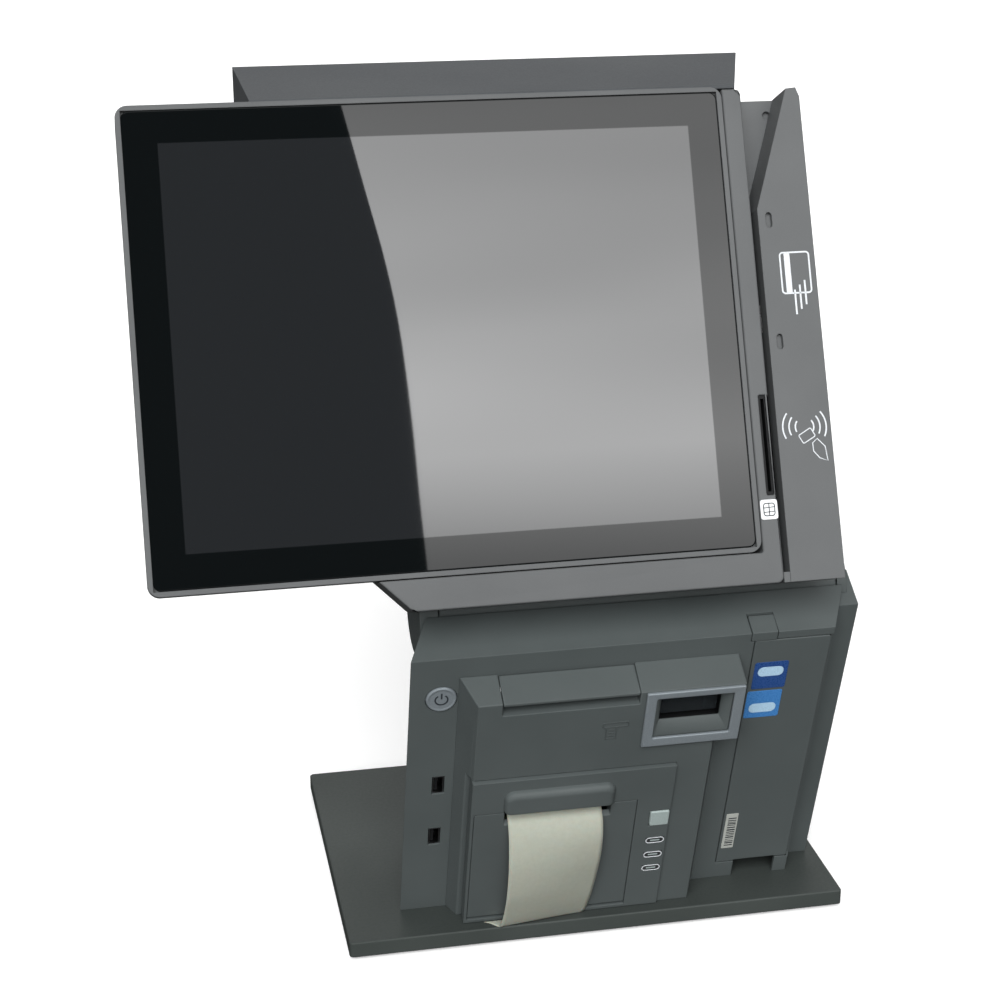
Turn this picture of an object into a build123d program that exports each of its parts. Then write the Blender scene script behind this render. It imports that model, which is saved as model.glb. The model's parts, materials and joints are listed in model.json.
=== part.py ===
"""Countertop self-service ticket terminal: tilting touch screen, card readers, printer and scanner.

Millimetres, +Z up, +X to the customer's right, the customer stands at -Y.
Three frames are used: the table's (world), the leaning body's front face (BODY) and the screen (SCREEN).
BODY has its origin at the foot of the body's front face: x right, y up the face, z out of it.
SCREEN has its origin in the middle of the glass: x right, y up the glass, z out of it.
"""

import os
from math import cos, radians, sin, tan

from build123d import *

# driving dimensions
SCREEN_TILT = 24.6            # lean of the screen back from upright, degrees
BODY_LEAN = 17.3              # lean of the body's front face towards the customer, degrees
TOP_SLOPE = 12.5              # slope of the body's top against its front face's normal, degrees
SCREEN_Z = 392.6              # height of the middle of the glass above the table
BASE_TOP = 12.5               # height of the base plate's top
BASE_X, BASE_Y = (-66.0, 253.0), (-18.3, 205.8)
FEET_H = 2.5
FOOT_Y = 13.7                 # depth of the foot of the body's front face
CENTRE = (39.25, 70.63)       # middle of the whole object's footprint, the origin
WALL = 2.5
GLASS_W, GLASS_H = 343.0, 266.8
SCREEN_W, SCREEN_H = 349.0, 272.6
SCREEN_DEPTH = 20.0
HEAD_X = (-99.5, 186.2)       # head frame, left and right
HEAD_V = (-155.0, 134.7)      # head frame, bottom and top along the screen
HEAD_DEPTH = 25.0
CORNER_STEP = 7.0             # the housing stands in from the frame's cut corner
WING_X = (190.0, 223.0)
HOUSING_RIGHT = 226.0         # right side of the housing at its back
HOOD_BACK = 190.0             # depth of the head housing's back
HOOD_TOP = 516.6
HINGE_N, HINGE_W = -53.0, 203.0   # tilt axis in BODY: behind the face, up the face
DRUM_R, TROUGH_R, SHAFT_R = 25.0, 26.0, 6.0
CREASE = 210.4                # height of the body's front face, measured along it
FRONT_X = (-29.8, 225.0)
FRONT_DEPTH, FRONT_SKEW = 30.0, 13.3  # the front box's sides drift to the right as they go back
COLUMN_X = (-9.0, 246.0)
COLUMN_N = -19.3
CAP_END = 241.2               # right end of the hinge trough and its cheek
BODY_BACK = 110.0
MODULE_X, MODULE_N, MODULE_TOP = (7.0, 152.0), 20.0, 190.0
UNIT_X, UNIT_N, UNIT_TOP = (6.4, 131.2), 22.4, 129.5   # the printer unit stands proud of the module
EXIT_W = 103.0                # height of the ticket exit along the face
TICKET_X = (29.0, 87.0)
LIP_X, LIP_TOP, LIP_OUT = (26.2, 94.2), 121.0, 4.2     # hood over the ticket exit
FEED_BUTTON = (124.8, 85.6)   # middle of the button, x and up the face
LIGHTS_X, LIGHTS_W = (118.2, 129.6), (66.3, 53.5, 41.4)
MOUTH_X, MOUTH_W = (113.0, 160.0), (154.0, 185.4)      # opening of the scanner
POWER_BUTTON = (-10.9, 179.9)
USB_PLACES = ((-9.9, 109.0), (-10.6, 64.8))            # middles of the two front sockets
DOOR_X, DOOR_W = (176.4, 224.6), (13.8, 204.3)
DOOR_PIVOT_X = 223.1
NOTCH_X = (188.0, 216.0)      # cable notch at the door's foot
CATCH_X = (173.8, 189.6)
DOOR_GAP = 0.7
FLAP_AXIS = (193.0, 4.9)      # up the face and out of it
COVER_AXIS = (13.6, 19.4)
PLATEN = (93.0, 7.5)
ROLL = (60.0, -15.0)
REAR_SOCKETS = ((82, 27, 20), (118, 16, 14), (140, 14, 15), (162, 14, 15))  # x, width, height
REAR_SOCKET_Z = 62.0
CHIP_X, CHIP_V = (180.4, 184.8), (-103.8, -46.2)       # card slot beside the screen
WING_HOLES_V = (56.3, -15.4)

SCREEN = Plane(
    origin=(0, 0, SCREEN_Z),
    x_dir=(1, 0, 0),
    z_dir=(0, -cos(radians(SCREEN_TILT)), sin(radians(SCREEN_TILT))),
)
BODY = Plane(
    origin=(0, FOOT_Y, BASE_TOP),
    x_dir=(1, 0, 0),
    z_dir=(0, -cos(radians(BODY_LEAN)), -sin(radians(BODY_LEAN))),
)
BODY_PLAN = Plane(origin=BODY.origin, x_dir=(1, 0, 0), z_dir=BODY.y_dir)
BODY_OUT = Axis((0, 0, 0), BODY.z_dir)
SCREEN_OUT = Axis((0, 0, 0), SCREEN.z_dir)


def slab(frame, x, y, z):
    """A box between the given limits, in a frame."""
    middle = [(a + b) / 2 for a, b in (x, y, z)]
    return frame.location * Pos(*middle) * Box(x[1] - x[0], y[1] - y[0], z[1] - z[0])


def world_box(x, y, z):
    return slab(Plane.XY, x, y, z)


def prism(frame, points, z, radius=0.0):
    """A polygon drawn in a frame, raised between two heights, with rounded corners."""
    face = Polygon(*points, align=None)
    if radius:
        face = fillet(face.vertices(), radius)
    return frame.location * Pos(0, 0, z[0]) * extrude(face, z[1] - z[0], dir=(0, 0, 1))


def profile(points, x, cut=None, inset=0.0):
    """A side view (depth, height) carried across from one x to the other."""
    face = Polygon(*points, align=None)
    if cut:
        face = face - cut
    if inset:
        face = offset(face, -inset)
    return Plane.YZ.offset(x[0]).location * extrude(face, x[1] - x[0], dir=(0, 0, 1))


def body_point(up, out):
    """Depth and height of a point given up the body's face and out of it."""
    lean = radians(BODY_LEAN)
    return (FOOT_Y - up * sin(lean) - out * cos(lean), BASE_TOP + up * cos(lean) - out * sin(lean))


def screen_point(up, out):
    """Depth and height of a point given up the screen and out of it."""
    tilt = radians(SCREEN_TILT)
    return (up * sin(tilt) - out * cos(tilt), SCREEN_Z + up * cos(tilt) + out * sin(tilt))


def foot(out):
    """The point of a plane parallel to the body's face where it meets the base plate."""
    return (FOOT_Y - out / cos(radians(BODY_LEAN)), BASE_TOP)


def rod(frame, middle, radius, half):
    """A round bar along x, centred on a point of the frame."""
    return frame.location * Pos(*middle) * Rot(0, 90, 0) * Cylinder(radius, 2 * half)


def post(frame, middle, radius, height):
    """A round bar along the frame's z axis, centred on a point."""
    return frame.location * Pos(*middle) * Cylinder(radius, height)


def slope_top(back, drop=0.0):
    """Height along the face of the body's sloping top, at a distance behind the face."""
    return CREASE - drop + back * tan(radians(TOP_SLOPE))


AXIS_Y, AXIS_Z = body_point(HINGE_W, HINGE_N)


def base_plate():
    plate = world_box(BASE_X, BASE_Y, (FEET_H, BASE_TOP))
    plate = fillet(plate.edges().filter_by(Axis.Z), 2.5)
    return chamfer(plate.faces().sort_by(Axis.Z)[-1].edges(), 0.7)


def base_feet():
    """Four rubber feet near the plate's corners."""
    return [
        Pos(x, y, FEET_H / 2) * Cylinder(9, FEET_H)
        for x in (BASE_X[0] + 16, BASE_X[1] - 16)
        for y in (BASE_Y[0] + 13.3, BASE_Y[1] - 15.8)
    ]


def front_box(inset=0.0):
    """The skewed box behind the front face, solid; inset gives its hollow, open below and behind."""
    x0, x1 = FRONT_X[0] + inset * 1.35, FRONT_X[1] - inset * 0.85
    beyond = 1.0 if inset else 0.0
    depth = FRONT_DEPTH + beyond
    skew, shift = FRONT_SKEW * depth / FRONT_DEPTH, FRONT_SKEW * inset / FRONT_DEPTH
    outline = [(x0 + shift, inset), (x1 + shift, inset), (x1 + skew, depth), (x0 + skew, depth)]
    keep = [
        (foot(-inset)[0], BASE_TOP - beyond),
        body_point(slope_top(inset, inset), -inset),
        body_point(slope_top(depth, inset), -depth),
        (foot(-depth)[0], BASE_TOP - beyond),
    ]
    return prism(BODY_PLAN, outline, (-20, 240)) & profile(keep, (-60, 280))


def front_cover():
    """Front moulding of the body: face, sloping top and skewed sides, open behind."""
    shell = front_box() - front_box(WALL)
    shell -= post(BODY, (*POWER_BUTTON, 0), 9.6, 12)
    for x, w in USB_PLACES:
        shell -= slab(BODY, (x - 3.8, x + 3.8), (w - 7.25, w + 7.25), (-8, 2))
    shell -= slab(BODY, (9.6, 152), (8, 186), (-4, 2))
    door_up = (DOOR_W[0] - DOOR_GAP, DOOR_W[1] + DOOR_GAP)
    shell -= slab(BODY, (DOOR_X[0] - DOOR_GAP, COLUMN_X[1]), door_up, (-WALL - 0.6, 2))
    shell -= slab(BODY, NOTCH_X, (-12, 14), (-12, 2))
    shell -= slab(BODY, (CATCH_X[0] - 0.4, CATCH_X[1] + 0.4), (204, 222), (-14.6, 2))
    for pin in door_pins():
        shell -= pin
    rib = slab(BODY, (-20, COLUMN_X[0] - 0.2), (-20, 220), (-FRONT_DEPTH, WALL - FRONT_DEPTH))
    return shell + (front_box() & rib)


def column_sketch():
    """Side view of the rear cover."""
    return [
        foot(COLUMN_N),
        body_point(slope_top(-COLUMN_N, 4.8), COLUMN_N),
        body_point(slope_top(45, 4.8), -45),
        (AXIS_Y + 28.5, AXIS_Z - 1.5),
        (BODY_BACK, AXIS_Z - 29.5),
        (BODY_BACK, BASE_TOP),
    ]


def column_corner(inset):
    """Wedge taken off the rear cover's left side in plan, so that it narrows towards the back."""
    left, back, start = COLUMN_X[0], BODY_BACK + 5, 52 - 4.7 * inset
    return [(left - 5, start), (left + inset, start), (left + inset, 57),
            (left + 12.8 + inset, back), (left - 5, back)]


def rear_cover():
    """Rear housing of the body, set to the right of the front box, with the hinge trough and vents."""
    trough = Pos(AXIS_Y, AXIS_Z) * Circle(TROUGH_R)
    outside = profile(column_sketch(), COLUMN_X)
    outside -= rod(Plane.XY, (CAP_END - 150, AXIS_Y, AXIS_Z), TROUGH_R, 150)
    outside -= prism(Plane.XY, column_corner(0), (0, 400))
    hollow = profile(column_sketch(), (COLUMN_X[0] + WALL, COLUMN_X[1] - WALL), trough, WALL)
    hollow -= prism(Plane.XY, column_corner(WALL + 0.1), (0, 400))
    shell = outside - hollow - front_box()
    shell -= world_box((60, 180), (BODY_BACK - 5, BODY_BACK + 2), (40, 84))
    for row in range(8):
        for side in range(2):
            x = 40 + side * 90
            shell -= world_box((x, x + 66), (BODY_BACK - 5, BODY_BACK + 2), (112 + row * 9, 116 + row * 9))
    return shell


def socket_box(socket, inset, y):
    """Block filling a rear socket's opening, set in by a distance."""
    x, width, height = socket[0], socket[1] / 2 - inset, socket[2] / 2 - inset
    return world_box((x - width, x + width), y, (REAR_SOCKET_Z - height, REAR_SOCKET_Z + height))


def rear_panel():
    """Connector plate at the back with a power inlet and three sockets."""
    y = (BODY_BACK - WALL, BODY_BACK - 0.5)
    panel = world_box((60.2, 179.8), y, (40.2, 83.8))
    for socket in REAR_SOCKETS:
        panel -= socket_box(socket, 0, (BODY_BACK - 5, BODY_BACK))
    return panel


def rear_sockets():
    """Inlet, network jack and two double sockets behind the connector plate."""
    return [
        socket_box(socket, 0.2, (88, BODY_BACK - 1)) - socket_box(socket, 2, (94, BODY_BACK))
        for socket in REAR_SOCKETS
    ]


def hinge_end_caps():
    """Round cheeks fixed to the body at both ends of the tilt drum."""
    caps = []
    for x0, x1 in ((-20.0, COLUMN_X[0]), (235.2, CAP_END)):
        cap = Plane.YZ.offset(x0).location * Pos(AXIS_Y, AXIS_Z) * extrude(Circle(TROUGH_R), x1 - x0)
        inwards = 3 if x0 < 0 else -3
        cap -= rod(Plane.XY, ((x0 + x1) / 2 + inwards, AXIS_Y, AXIS_Z), SHAFT_R, (x1 - x0) / 2)
        caps.append(cap - front_box())
    return caps


def hinge_shaft():
    """Steel bar fixed in the two cheeks, on which the drum turns."""
    return rod(Plane.XY, (110.5, AXIS_Y, AXIS_Z), SHAFT_R, 127.5)


def hinge_drum():
    """Drum that turns on the shaft, with the saddle that carries the head."""
    drum = rod(Plane.XY, (113.25, AXIS_Y, AXIS_Z), DRUM_R, 121.4)
    saddle = world_box((-5, 183), (AXIS_Y - 12, AXIS_Y + 14), (AXIS_Z + 18, head_floor()))
    return drum + saddle - rod(Plane.XY, (113.25, AXIS_Y, AXIS_Z), SHAFT_R + 0.06, 140)


def head_floor():
    """Height of the head housing's underside."""
    return AXIS_Z + TROUGH_R + 2.0


def power_button():
    """Round button high on the left of the face."""
    return post(BODY, (*POWER_BUTTON, -1.2), 9.2, 4.4)


def power_ring():
    """Cup that guides the power button behind the cover."""
    return post(BODY, (*POWER_BUTTON, -7), 10.3, 9) - post(BODY, (*POWER_BUTTON, -5), 9.6, 9)


def usb_shells():
    """Folded metal shells of the two upright sockets."""
    shells = []
    for x, w in USB_PLACES:
        shell = slab(BODY, (x - 3.2, x + 3.2), (w - 6.6, w + 6.6), (-15, -0.6))
        shells.append(shell - slab(BODY, (x - 2.8, x + 2.8), (w - 6.2, w + 6.2), (-14.4, 0)))
    return shells


def usb_tongues():
    """Contact tongues inside the two sockets."""
    return [slab(BODY, (x - 2.2, x - 0.3), (w - 5.4, w + 5.4), (-14.4, -2.0)) for x, w in USB_PLACES]


def upright_rod(radius, w):
    """A round bar on the door's pivot, between two heights up the face."""
    middle = Pos(DOOR_PIVOT_X, (w[0] + w[1]) / 2, -WALL / 2)
    return BODY.location * middle * Rot(90, 0, 0) * Cylinder(radius, w[1] - w[0])


def side_door():
    """Tall door at the right of the body with pivot bosses at its right edge."""
    door = slab(BODY, DOOR_X, DOOR_W, (-WALL, 0))
    door -= slab(BODY, NOTCH_X, (0, DOOR_W[0] + 0.6), (-9, 2))
    door -= slab(BODY, (DOOR_PIVOT_X, DOOR_X[1] + 1), (0, 210), (-4, 2))
    return door + upright_rod(WALL / 2, DOOR_W) - upright_rod(0.8, (DOOR_W[0] - 10, DOOR_W[1] + 10))


def door_pins():
    """Pivot pins above and below the door."""
    low, high = DOOR_W
    return [upright_rod(0.75, (low - 2.4, low + 5)), upright_rod(0.75, (high - 5, high + 1.8))]


def door_bay():
    """Tray behind the door; its foot is open at the notch so cables can leave."""
    tray = slab(BODY, (179, 219), (16.5, 198), (-28, -3.0))
    tray += slab(BODY, (174.5, 223.4), (15.2, 204.2), (-4.5, -3.0))
    tray -= slab(BODY, (180.5, 217.5), (18, 196.5), (-26.5, 0))
    return tray - slab(BODY, (188, 214), (10, 20), (-24, 0))


def bay_sockets():
    """Three service connectors in the bay."""
    sockets = []
    for w in (60, 90, 120):
        block = slab(BODY, (194, 206), (w - 7, w + 7), (-26.5, -16))
        sockets.append(block - slab(BODY, (198.4, 201.6), (w - 5, w + 5), (-24, -15)))
    return sockets


def release_button():
    """Catch on the sloping top above the door."""
    points = [
        body_point(204.7, -2.5),
        body_point(204.7, 0.3),
        body_point(CREASE + 0.6, 0.3),
        body_point(slope_top(12, -1.0), -12),
        body_point(slope_top(12, 5), -12),
        body_point(206.5, -5),
    ]
    return profile(points, CATCH_X)


def module_housing():
    """Fascia of the printer and scanner: bevelled sides, sloping top, scanner block at the right."""
    plan = [(-1.0, 0), (MODULE_X[0], -MODULE_N), (MODULE_X[1], -MODULE_N), (161.0, 0)]
    top = [body_point(MODULE_TOP, MODULE_N), body_point(MODULE_TOP + 6.1, 0)]
    block = prism(BODY_PLAN, plan, (-20, 240)) & profile([foot(0), foot(MODULE_N), *top], (-40, 260))
    block += profile([body_point(140, 0), body_point(145.5, MODULE_N), *top], (103.5, 167.5))
    block -= slab(BODY, (10, 149.5), (-20, 127), (-1, MODULE_N - 2.5))
    block -= slab(BODY, (6, 149.5), (131, 179), (-1, MODULE_N - 2.5))
    block -= slab(BODY, (UNIT_X[0] - 10, UNIT_X[1] + 0.2), (-20, UNIT_TOP + 0.3), (MODULE_N - 8, 30))
    block -= slab(BODY, (21.5, 103.3), (181, 200), (-1, 30))
    return block - slab(BODY, MOUTH_X, MOUTH_W, (2, 30))


def module_flap():
    """Lid on the module's top, hinged at its back edge, with a finger gap under its front."""
    points = [
        body_point(MODULE_TOP + 5.7, 1.2),
        body_point(MODULE_TOP, MODULE_N),
        body_point(MODULE_TOP - 2, MODULE_N),
        body_point(MODULE_TOP + 2.4, 2.8),
    ]
    return profile(points, (21.9, 102.9)) + rod(BODY, (62.4, *FLAP_AXIS), 1.5, 40.5)


def scanner_frame():
    """Silver surround of the scanner window."""
    frame = slab(BODY, (106.7, 166.5), (147.4, 190.0), (MODULE_N, MODULE_N + 2.4))
    return frame - slab(BODY, MOUTH_X, MOUTH_W, (MODULE_N - 1, 30))


def scanner_window():
    """Clear pane deep in the scanner's mouth."""
    x, w = ((a + 0.2, b - 0.2) for a, b in (MOUTH_X, MOUTH_W))
    return slab(BODY, x, w, (2.2, 3.7))


def scanner_engine():
    """Imaging block behind the pane, with a round lens barrel."""
    block = slab(BODY, (122, 151.5), (153, 178), (-14, 0))
    return block + post(BODY, (139.0, 163.5, 0.6), 6.0, 2.4)


def exit_lip():
    """Pillow-shaped hood over the ticket exit."""
    lip = slab(BODY, LIP_X, (EXIT_W - 2, LIP_TOP), (UNIT_N - 1, UNIT_N + LIP_OUT))
    lip = fillet(lip.edges().filter_by(BODY_OUT), 6.0)
    return fillet(lip.faces().sort_by(BODY_OUT)[-1].edges(), LIP_OUT - 0.2)


def feed_block(half, n):
    """Square block on the feed button's middle."""
    x, w = FEED_BUTTON
    return slab(BODY, (x - half, x + half), (w - half, w + half), n)


def light_blocks(gap, n):
    """Blocks on the three status lights, larger than them by a gap."""
    x = (LIGHTS_X[0] - gap, LIGHTS_X[1] + gap)
    return [slab(BODY, x, (w - 2.1 - gap, w + 2.1 + gap), n) for w in LIGHTS_W]


def printer_panel():
    """Surround of the printer: top strip with the lip over the exit, right strip with button and lights."""
    outer = slab(BODY, UNIT_X, (7.4, UNIT_TOP), (MODULE_N - 6, UNIT_N))
    outer -= slab(BODY, (8.3, 109.5), (9.9, EXIT_W + 0.4), (0, 30))
    outer -= rod(BODY, (58.9, *COVER_AXIS), 1.2, 51.8)
    outer += exit_lip()
    outer -= slab(BODY, (26.5, 94), (EXIT_W - 2, EXIT_W + 2.4), (0, 30))
    outer -= feed_block(6.6, (0, 30))
    for block in light_blocks(0.2, (0, 30)):
        outer -= block
    return outer


def printer_cover():
    """Paper door with the hollow that guides the ticket out, and its hinge barrel at the foot."""
    door = slab(BODY, (8.6, 109.2), (12.4, EXIT_W), (MODULE_N - 6, UNIT_N))
    door -= rod(BODY, (60.0, EXIT_W + 6, UNIT_N + 6.0), 17.5, 33.0)
    door -= slab(BODY, (27, 93), (88, 110), (MODULE_N - 8, MODULE_N - 1.2))
    for x in ((13.4, 16.4), (99.4, 102.4)):
        door += slab(BODY, x, (78, 100), (3, MODULE_N - 6))
    door += rod(BODY, (58.9, *COVER_AXIS), 2.6, 50.3)
    bore = rod(BODY, (58.9, *COVER_AXIS), 1.25, 60)
    return door - bore - rod(BODY, (58.9, *PLATEN), 2.05, 60)


def cover_pin():
    """Steel pin of the paper door, held in the surround."""
    return rod(BODY, (58.9, *COVER_AXIS), 1.2, 51.8)


def printer_frame():
    """Tray that holds the roll, the print head and the paper door's pin."""
    tray = slab(BODY, (10.4, 109.4), (20, 126), (-42, 13.6))
    tray -= slab(BODY, (12.4, 107.4), (22, 124), (-40, 30))
    return tray - slab(BODY, (11.0, 109), (13, 24), (0, 30))


def platen_roller():
    """Rubber roller on a steel shaft carried by the paper door."""
    return rod(BODY, (57.9, *PLATEN), 5.0, 30) - rod(BODY, (57.9, *PLATEN), 2.06, 40)


def platen_shaft():
    """Steel shaft of the roller."""
    return rod(BODY, (57.9, *PLATEN), 2.0, 45)


def print_head():
    """Thermal print head bar pressed towards the roller."""
    x = (27, 89)
    return slab(BODY, x, (98.9, 101.4), (-4, 12)) + slab(BODY, x, (98.9, 112), (-4, -1.5))


def tear_bar():
    """Cutter strip above the ticket exit."""
    return slab(BODY, (26.6, 93.9), (EXIT_W + 1, EXIT_W + 2.4), (MODULE_N - 5.5, MODULE_N + 1))


def paper_roll():
    """Roll of thermal paper on its core."""
    return rod(BODY, (58, *ROLL), 20, 28.6) - rod(BODY, (58, *ROLL), 6, 40)


def roll_core():
    """Cardboard tube of the roll."""
    return rod(BODY, (58, *ROLL), 6.0, 28.6) - rod(BODY, (58, *ROLL), 4.0, 40)


def roll_spindle():
    """Spindle that carries the roll between the tray's sides."""
    return rod(BODY, (59.9, *ROLL), 3.95, 47.4)


def ticket():
    """Printed ticket hanging from the exit down to the base plate, slightly bowed."""
    path = [
        body_point(98.4, 12.9),
        body_point(97.0, 17.4),
        body_point(92.6, 23.8),
        (-40.4, 71.6),
        (-37.0, 47.6),
        (-25.5, 24.0),
        (-13.0, BASE_TOP + 0.4),
    ]
    strip = trace(Spline(*path), 0.3)
    return Plane.YZ.offset(TICKET_X[0]).location * extrude(strip, TICKET_X[1] - TICKET_X[0])


def feed_button():
    """Square paper feed button."""
    return feed_block(6.2, (MODULE_N - 5, UNIT_N + 0.5))


def status_lights():
    """Three light windows below the feed button."""
    return light_blocks(0, (MODULE_N - 5, UNIT_N + 0.3))


def centred(width, height, z):
    """A box around the middle of the screen."""
    return slab(SCREEN, (-width / 2, width / 2), (-height / 2, height / 2), z)


def screen_bezel():
    """Rim and back shell of the screen module."""
    shell = centred(SCREEN_W, SCREEN_H, (-SCREEN_DEPTH, 0))
    shell = fillet(shell.edges().filter_by(SCREEN_OUT), 7) - centred(GLASS_W, GLASS_H, (-3.2, 2))
    return shell - centred(320, 244, (-17.5, 0))


def touch_glass():
    """Sheet of glass sunk in the rim."""
    return centred(GLASS_W - 0.2, GLASS_H - 0.2, (-3.2, -0.2))


def display_panel():
    """Display behind the glass."""
    return centred(316, 240, (-13, -3.4))


def head_outline():
    """Head frame seen square on, with the cut lower-left corner."""
    left, right = HEAD_X
    low, high = HEAD_V
    return [(-30, low), (right, low), (right, high), (left, high), (left, low + 69.5)]


def head_frame():
    """Frame that holds the screen module, open at the left where the screen overhangs."""
    frame = prism(SCREEN, head_outline(), (-HEAD_DEPTH, 0), 4)
    open_x, open_v = (-200, SCREEN_W / 2 + 0.6), (-SCREEN_H / 2 - 0.6, 200)
    frame -= slab(SCREEN, open_x, open_v, (-SCREEN_DEPTH - 0.2, 5))
    frame -= slab(SCREEN, (180.2, 185.0), (-104, -46), (-8, 5))
    window = slab(SCREEN, (-90, 176), (-140, 126), (-HEAD_DEPTH - 1, -SCREEN_DEPTH))
    frame -= window - prism(SCREEN, corner_cut(CORNER_STEP + 8), (-300, 0))
    return frame


def wing():
    """Raised fin right of the swipe slot, cut away at the top so that a card can enter."""
    left, right = WING_X
    low = HEAD_V[0]
    tip = [(right - 1, 129), (right - 3, 134.5), (right - 9, 134.0)]
    fin = prism(SCREEN, [(left, low), (right, low), *tip, (left, 63)], (-HEAD_DEPTH, 0))
    for v in WING_HOLES_V:
        fin -= slab(SCREEN, (194.7, 198.4), (v - 2.7, v + 2.7), (-3, 2))
        for end in (v - 2.7, v + 2.7):
            fin -= post(SCREEN, (196.55, end, -0.5), 1.85, 5)
    return fin


def reader_back():
    """Back of the card readers' housing: the swipe slot's floor and a foot that closes the slot."""
    plate = slab(SCREEN, (HEAD_X[1], 222.5), (HEAD_V[0], 133.6), (-HEAD_DEPTH - 4, -HEAD_DEPTH))
    plate += slab(SCREEN, (HEAD_X[1], WING_X[0]), (HEAD_V[0], -149), (-HEAD_DEPTH, -0.3))
    return plate - post(SCREEN, (209.4, 124.6, -HEAD_DEPTH), 2.5, 6)


def swipe_head():
    """Magnetic head that peeps into the swipe slot from the fin."""
    return slab(SCREEN, (WING_X[0] - 0.9, WING_X[0]), (-8, 8), (-20, -10))


def chip_reader():
    """Slot insert for chip cards beside the screen."""
    body = slab(SCREEN, CHIP_X, CHIP_V, (-8, -1.0))
    return body - slab(SCREEN, (181.6, 183.6), (-102, -48), (-7, 1))


def chip_plate():
    """Small white plate with the chip sign below the card slot."""
    return slab(SCREEN, (175.4, 185.9), (-118.3, -106.5), (0, 0.4))


def housing_sketch():
    """Side view of the head housing behind the frame."""
    return [
        screen_point(HEAD_V[1] + 0.3, -HEAD_DEPTH),
        screen_point(HEAD_V[1] + 0.3, -SCREEN_DEPTH - 0.4),
        screen_point(SCREEN_H / 2 + 0.4, -SCREEN_DEPTH - 0.4),
        screen_point(SCREEN_H / 2 + 0.4, -6),
        (62.8, HOOD_TOP - 0.4),
        (HOOD_BACK, HOOD_TOP),
        (HOOD_BACK, 330.0),
        (112.0, head_floor()),
        screen_point(-145.25, -HEAD_DEPTH),
    ]


def housing_plan(inset):
    """Top view of the head housing, its right side slanting out towards the back."""
    right, back = 183.8 - inset, HOUSING_RIGHT - inset
    return [(-140, -80), (right, -80), (right, 60), (back, HOOD_BACK), (back, 230), (-140, 230)]


def corner_cut(inset):
    """Triangle taken off the head's lower-left corner, seen square to the screen."""
    return [(-120, -180), (-5 + 1.41 * inset, -180), (-120, -65 + 1.41 * inset)]


def head_housing():
    """Deep housing behind the screen, its right side cut back so that a card can be swiped."""
    corner, inner, window = (
        prism(SCREEN, corner_cut(step), (-300, 0))
        for step in (CORNER_STEP, CORNER_STEP + WALL, CORNER_STEP + 8)
    )
    outside = profile(housing_sketch(), (HEAD_X[0], HOUSING_RIGHT)) - corner
    hollow = profile(housing_sketch(), (HEAD_X[0] + WALL, HOUSING_RIGHT - WALL), inset=WALL) - inner
    shell = outside & prism(Plane.XY, housing_plan(0), (150, 600))
    shell -= hollow & prism(Plane.XY, housing_plan(WALL + 0.4), (150, 600))
    shell -= slab(SCREEN, (-88, 174), (-138, 124), (-HEAD_DEPTH - 8, 0)) - window
    shell -= world_box((-60, 180), (HOOD_BACK - 6, HOOD_BACK + 2), (350, 490))
    return shell - slab(SCREEN, (185.8, 222.9), (-160, 134), (-HEAD_DEPTH - 4.4, -HEAD_DEPTH))


def head_rear_panel():
    """Slotted panel in the back of the head housing."""
    panel = world_box((-59.8, 179.8), (HOOD_BACK - WALL, HOOD_BACK - 0.5), (350.2, 489.8))
    for column in range(3):
        for row in range(9):
            x, z = -40 + column * 72, 372 + row * 11
            panel -= world_box((x, x + 54), (HOOD_BACK - 5, HOOD_BACK + 1), (z, z + 4))
    return panel


def mainboard():
    """Computer board with its cooler, upright inside the head."""
    board = world_box((-30, 140), (120, 121.6), (330, 490))
    return board + world_box((10, 90), (121.6, 146), (380, 460))


def power_supply():
    """Power supply at the foot of the body, cut back for the rear sockets."""
    box = world_box((20, 200), (62, 100), (BASE_TOP + WALL, 74))
    return box - world_box((60, 180), (86, 101), (38, 80))


def code_label():
    """Plain label with bars on the door."""
    return slab(BODY, (177.8, 186.0), (26.6, 58.2), (0, 0.15))


def stickers():
    """Two plain blue stickers on the door."""
    n = (0, 0.15)
    return [
        slab(BODY, (178.6, 200.0), (165.4, 187.0), n),
        slab(BODY, (176.9, 199.2), (141.6, 163.8), n),
    ]


PARTS = [
    base_plate, base_feet, front_cover, rear_cover, rear_panel, rear_sockets, hinge_end_caps,
    hinge_shaft, hinge_drum, power_button, power_ring, usb_shells, usb_tongues, side_door,
    door_pins, door_bay, bay_sockets, release_button, module_housing, module_flap, scanner_frame,
    scanner_window, scanner_engine, printer_panel, printer_cover, cover_pin, printer_frame,
    platen_roller, platen_shaft, print_head, tear_bar, paper_roll, roll_core, roll_spindle, ticket,
    feed_button, status_lights, screen_bezel, touch_glass, display_panel, head_frame, wing,
    reader_back, swipe_head, chip_reader, chip_plate, head_housing, head_rear_panel, mainboard,
    power_supply, code_label, stickers,
]


def main():
    os.makedirs("parts", exist_ok=True)
    for make in PARTS:
        made = make()
        solids = made if isinstance(made, list) else made.solids()
        shift = Pos(-CENTRE[0], -CENTRE[1], 0)
        moved = [shift * s for s in solids]
        shape = moved[0] if len(moved) == 1 else Compound(children=moved)
        export_step(shape, f"parts/{make.__name__}.step")


main()
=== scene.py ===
"""Countertop ticket terminal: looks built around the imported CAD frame. Metres, +Z up, customer at -Y."""

import json
import math

import bmesh
import bpy
import numpy as np
from mathutils import Matrix, Vector


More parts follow.
